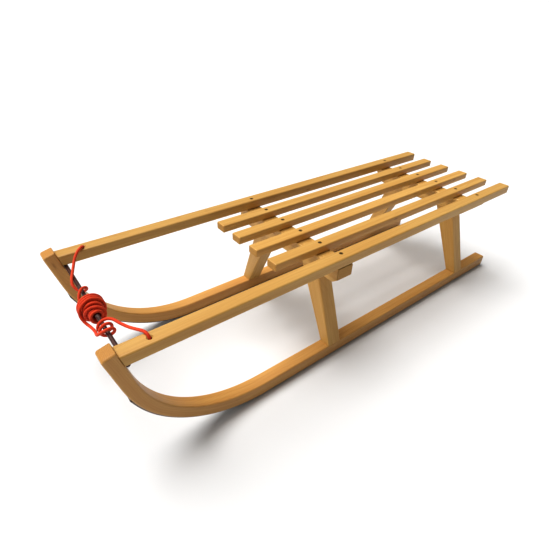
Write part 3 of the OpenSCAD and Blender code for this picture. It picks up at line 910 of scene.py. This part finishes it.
def make_leg(node, side, beam):
    """A leg from the runner's top to the beam, leaning inwards and wider at its head."""
    lo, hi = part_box(node)
    x = (lo.x + hi.x) / 2
    foot = Vector((x, side * GAUGE_Y, WOOD_Z + RUN_H))
    head = Vector((x, side * (GAUGE_Y - LEG_SPLAY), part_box(beam)[0].z))
    stations = []
    for share in (0.0, 0.03, 0.25, 0.5, 0.75, 0.97, 1.0):
        mid = foot.lerp(head, share)
        w = RUN_W + (LEG_HEAD_W - RUN_W) * share
        stations.append((mid - Y * w / 2, mid + Y * w / 2, 0, 0, 0))
    obj = sweep(node + "_wood", stations, X, hi.x - lo.x, 0.0030, WOOD)[0]
    straight_grain(obj, (head - foot).normalized())
    place(obj, node)


for number in range(1, 5):
    make_slat("slat_%d" % number)
for word, side in SIDES:
    make_side_rail("side_rail_" + word, side)
for end, (end_h, run) in BEAM_ENDS.items():
    make_cross_beam("cross_beam_" + end, end_h, run)
for end in BEAM_ENDS:
    for word, side in SIDES:
        make_leg("leg_%s_%s" % (end, word), side, "cross_beam_" + end)


# ---------------------------------------------------------------- screws and the tow bar
def make_tow_bar():
    """A round bar with bevelled ends."""
    r, bevel = BAR_R, 0.0006
    length = BAR_HI.y - BAR_LO.y
    end = [(0, 0), (r - bevel, 0), (r - bevel * 0.3, bevel * 0.3), (r, bevel)]
    other_end = [(x, length - z) for x, z in end[::-1]]
    profile = end + [(r, length * 0.33), (r, length * 0.66)] + other_end
    verts, faces = lathe(profile, (BAR_X, BAR_LO.y, BAR_Z), Y, 64)
    obj = new_object("tow_bar_steel", verts, faces, BAR, 40)
    straight_grain(obj, Y, False)
    place(obj, "tow_bar")


def make_tow_bar_screws():
    """Round-headed screws from below, with a round socket in the head."""
    parts = []
    for lo, hi in island_boxes("tow_bar_screws"):
        mid = (lo + hi) / 2
        head_r, length, shank_r, head_h = (hi.x - lo.x) / 2, hi.z - lo.z, 0.0015, 0.002
        profile = [(0, length), (0.0008, length), (shank_r, length - 0.002), (shank_r, head_h),
                   (head_r, head_h), (head_r, 0.0014), (head_r * 0.86, 0.0006), (head_r * 0.62, 0.00015),
                   (head_r * 0.42, 0.0), (head_r * 0.38, 0.0011), (0, 0.0011)]
        parts.append(lathe(profile, (mid.x, mid.y, lo.z), Z, 40))
    verts, faces = merged(parts)
    obj = new_object("tow_bar_screws_steel", verts, faces, SCREW, 30)
    straight_grain(obj, Z, False)
    place(obj, "tow_bar_screws")


screw_piece("slat_screws_front_steel", "slat_screws_front", Z, HEAD_R, SHANK_R)
screw_piece("slat_screws_rear_steel", "slat_screws_rear", Z, HEAD_R, SHANK_R)
screw_piece("rail_screws_steel", "rail_screws", Z, HEAD_R, SHANK_R)
make_tow_bar()
make_tow_bar_screws()

# the hidden dowels and long screws stay as the CAD frame has them
for node, material in (("toe_dowels", WOOD), ("leg_screws", SCREW)):
    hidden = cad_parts[node]
    hidden.data.materials.clear()
    hidden.data.materials.append(material)

# the shoe screws' heads stand in recesses in the shoes' undersides
for word, _ in SIDES:
    shoe = bpy.data.objects["shoe_" + word + "_steel"]
    lo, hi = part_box("shoe_" + word)
    heads = [h for h in screw_heads(("shoe_screws",), -1) if lo.y < h.y < hi.y]
    carve(shoe, [sink_cut(h, -Z, SHOE_SINK_R, SHOE_SINK_DEPTH) for h in heads])
    weigh_normals(shoe)
screw_piece("shoe_screws_steel", "shoe_screws", -Z, SHOE_HEAD_R, SHOE_SHANK_R)


# ---------------------------------------------------------------- floor and light
FLOOR_SHADE, FLOOR_HALF, FLOOR_Z = 0.66, 300, -0.0004
FILL_COLOUR, FILL_STRENGTH = (1.0, 0.97, 0.93, 1), 0.20
BACKDROP = (0.93, 0.93, 0.93, 1)
# name, direction towards the light, its angular size in degrees, strength
SUNS = (("key", (0.20, -0.32, 0.92), 42, 4.4), ("front", (0.92, -0.20, 0.32), 40, 0.8))


def floor_and_light():
    n = Nodes("studio_floor")
    n.set(Base_Color=(FLOOR_SHADE, FLOOR_SHADE, FLOOR_SHADE, 1), Roughness=0.95, Specular_IOR_Level=0.0)
    mesh = bpy.data.meshes.new("studio_floor")
    corners = [(x * FLOOR_HALF, y * FLOOR_HALF, FLOOR_Z) for x, y in ((-1, -1), (1, -1), (1, 1), (-1, 1))]
    mesh.from_pydata(corners, [], [(0, 1, 2, 3)])
    mesh.materials.append(n.m)
    floor = bpy.data.objects.new("studio_floor", mesh)
    SCENE.collection.objects.link(floor)
    # the camera sees a plain backdrop, and the sled gets a softer fill light
    world = bpy.data.worlds.new("studio")
    world.use_nodes = True
    t = world.node_tree
    fill = t.nodes["Background"]
    fill.inputs[0].default_value = FILL_COLOUR
    fill.inputs[1].default_value = FILL_STRENGTH
    seen = t.nodes.new("ShaderNodeBackground")
    seen.inputs[0].default_value = BACKDROP
    ray = t.nodes.new("ShaderNodeLightPath")
    pick = t.nodes.new("ShaderNodeMixShader")
    t.links.new(ray.outputs["Is Camera Ray"], pick.inputs[0])
    t.links.new(fill.outputs[0], pick.inputs[1])
    t.links.new(seen.outputs[0], pick.inputs[2])
    t.links.new(pick.outputs[0], t.nodes["World Output"].inputs[0])
    SCENE.world = world
    for name, toward, angle, power in SUNS:
        data = bpy.data.lights.new(name, "SUN")
        data.angle, data.energy = math.radians(angle), power
        light = bpy.data.objects.new(name, data)
        light.rotation_mode = "QUATERNION"
        light.rotation_quaternion = Vector(toward).to_track_quat("Z", "Y")
        SCENE.collection.objects.link(light)


floor_and_light()
SCENE.view_settings.view_transform = "Standard"
SCENE.view_settings.gamma = 0.82
SCENE.view_settings.exposure = 0.12
